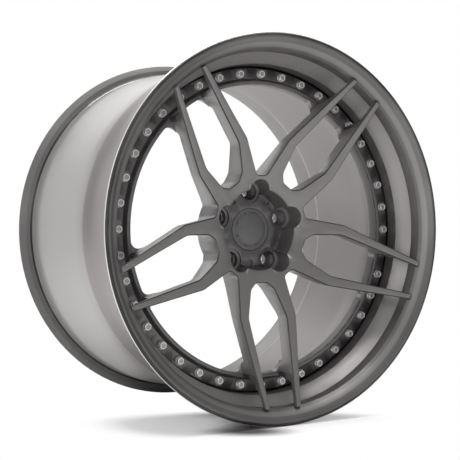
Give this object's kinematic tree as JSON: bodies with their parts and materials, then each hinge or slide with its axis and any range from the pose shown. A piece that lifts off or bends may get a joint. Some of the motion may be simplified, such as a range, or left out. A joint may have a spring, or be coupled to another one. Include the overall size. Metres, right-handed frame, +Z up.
{
  "type": "alloy wheel",
  "caption": "Deep-lipped two-piece forged car wheel with paired floating spokes, a bolted centre, lug holes, a bare centre cap and a tyre valve.",
  "frame": {"origin": "wheel centre: on the axle line, midway across the overall width", "axes": "+Y along the axle, from the outboard face towards the car; +Z up, with one lug hole straight above the axle; +X to the right seen from outboard"},
  "size_m": [0.5487, 0.3412, 0.5488],
  "materials": {
    "gunmetal_paint": "satin",
    "lip_satin": "satin",
    "bolt_steel": "polished",
    "cap_plastic": "satin",
    "inlay_plate": "satin",
    "spring_steel": "plain",
    "valve_metal": "satin",
    "valve_rubber": "matte",
    "valve_brass": "plain",
    "valve_plastic": "matte"
  },
  "bodies": {
    "root": {"rim": "lip_satin", "centre_disc": "gunmetal_paint", "assembly_bolts": "bolt_steel", "centre_cap": "cap_plastic", "cap_inlay": "inlay_plate", "cap_spring_ring": "spring_steel", "valve_stem": "valve_metal", "valve_seal": "valve_rubber", "valve_washer": "valve_metal", "valve_nut": "valve_metal", "valve_core": "valve_brass", "valve_cap": "valve_plastic"}
  },
  "joints": []
}
